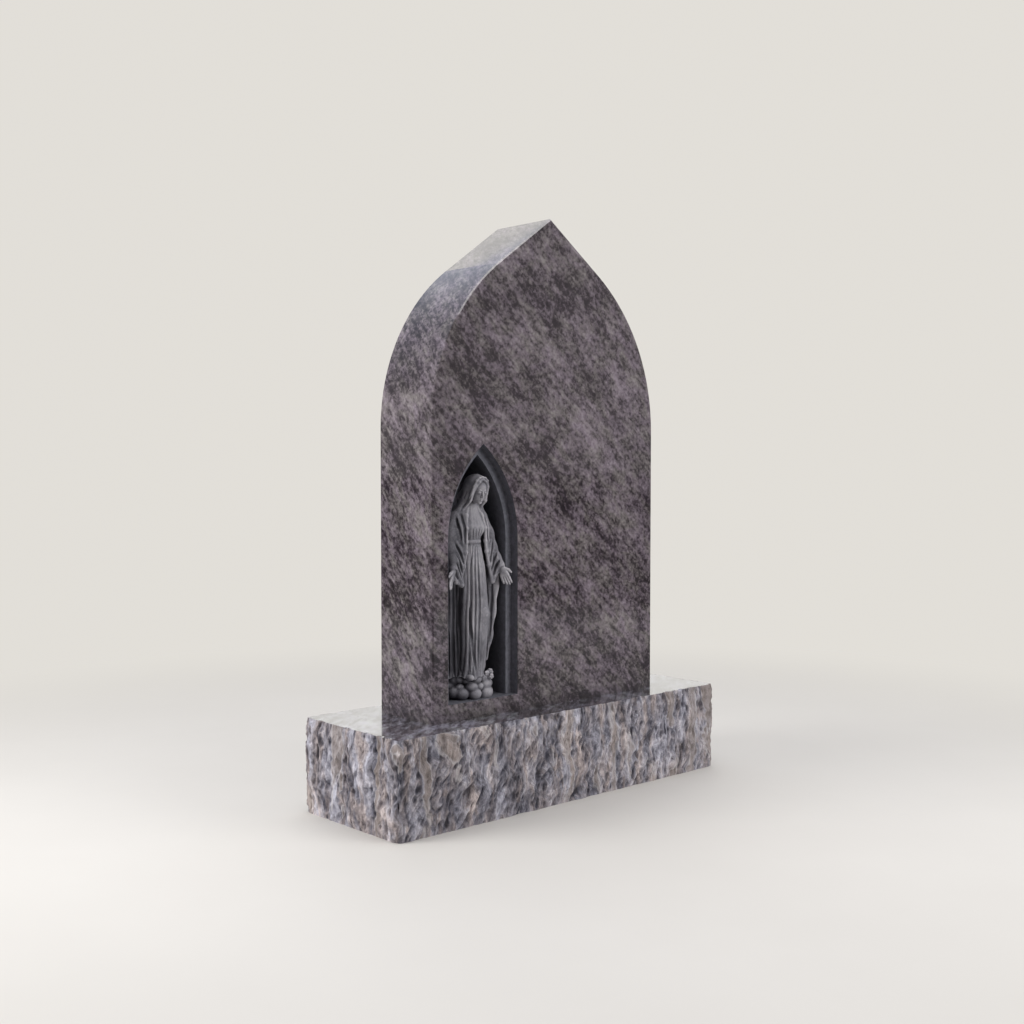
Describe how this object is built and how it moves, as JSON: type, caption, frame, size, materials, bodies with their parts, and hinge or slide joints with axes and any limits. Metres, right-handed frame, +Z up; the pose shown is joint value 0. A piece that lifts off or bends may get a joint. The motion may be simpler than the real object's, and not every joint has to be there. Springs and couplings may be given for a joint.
{
  "type": "headstone with a niche figure",
  "caption": "Upright granite headstone with a pointed arch on a rock-faced base stone, with a robed figure on a cloud standing in a stepped lancet niche.",
  "frame": {"origin": "middle of the base stone's underside", "axes": "+Z up, the stele's front with the niche faces -Y, +X along the base stone to the viewer's right"},
  "size_m": [0.7302, 0.255, 0.95],
  "materials": {
    "rock_faced_granite": "rock-faced sides with vertical flutes, polished top",
    "polished_granite": "polished",
    "cast_stone": "matt, darker in its recesses"
  },
  "bodies": {
    "root": {"base_stone": "rock_faced_granite", "stele": "polished_granite", "figure": "cast_stone"}
  },
  "joints": []
}
